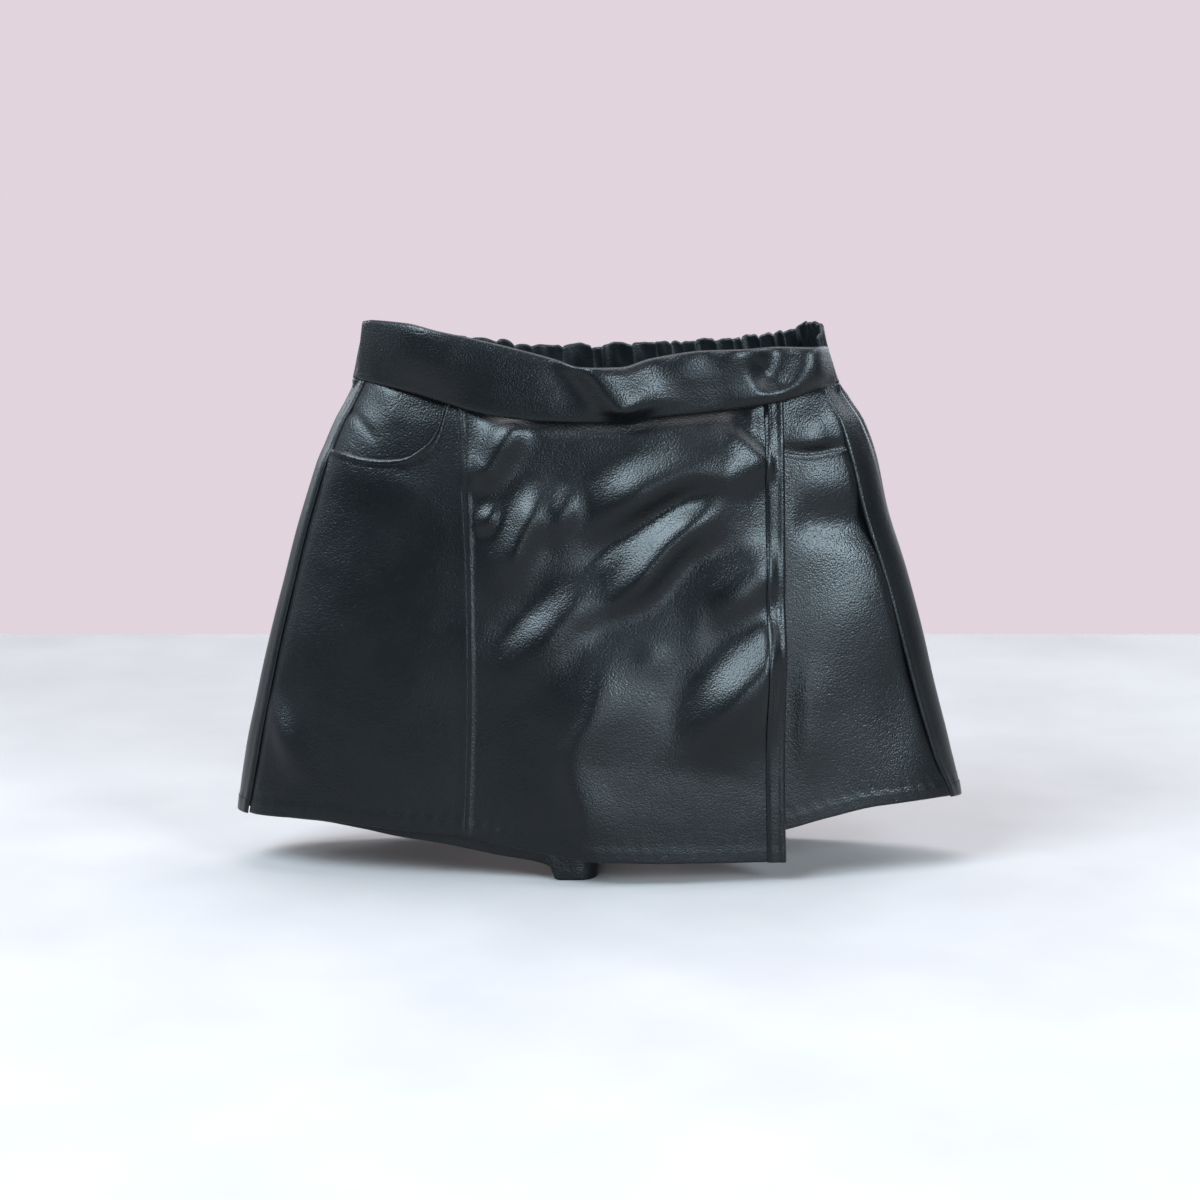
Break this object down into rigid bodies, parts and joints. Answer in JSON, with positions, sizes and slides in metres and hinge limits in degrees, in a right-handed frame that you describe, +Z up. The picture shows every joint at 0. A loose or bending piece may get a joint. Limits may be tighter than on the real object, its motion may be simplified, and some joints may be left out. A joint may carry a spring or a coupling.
{
  "type": "wrap skort",
  "caption": "Black faux-leather skort: shorts under a wrap-over front flap, with scooped pockets, a smooth front waistband and a gathered elastic back.",
  "frame": {"origin": "on the surface it stands on, under the middle of its whole outline", "axes": "+Z up towards the waist, -Y towards the wearer's front, +X towards the flap's free edge"},
  "size_m": [0.3796, 0.1017, 0.2845],
  "materials": {
    "faux_leather": "black faux leather with a fine pebbled grain and a soft sheen",
    "elastic_casing": "the same black faux leather, gathered over elastic, matt in its folds"
  },
  "bodies": {
    "root": {"front_waistband": "faux_leather", "back_waistband": "elastic_casing", "front_side_panel": "faux_leather", "front_flap_panel": "faux_leather", "flap_placket": "faux_leather", "left_leg_front": "faux_leather", "right_leg_front": "faux_leather", "back_left": "faux_leather", "back_right": "faux_leather", "pocket_facing_left": "faux_leather", "pocket_facing_right": "faux_leather"}
  },
  "joints": []
}
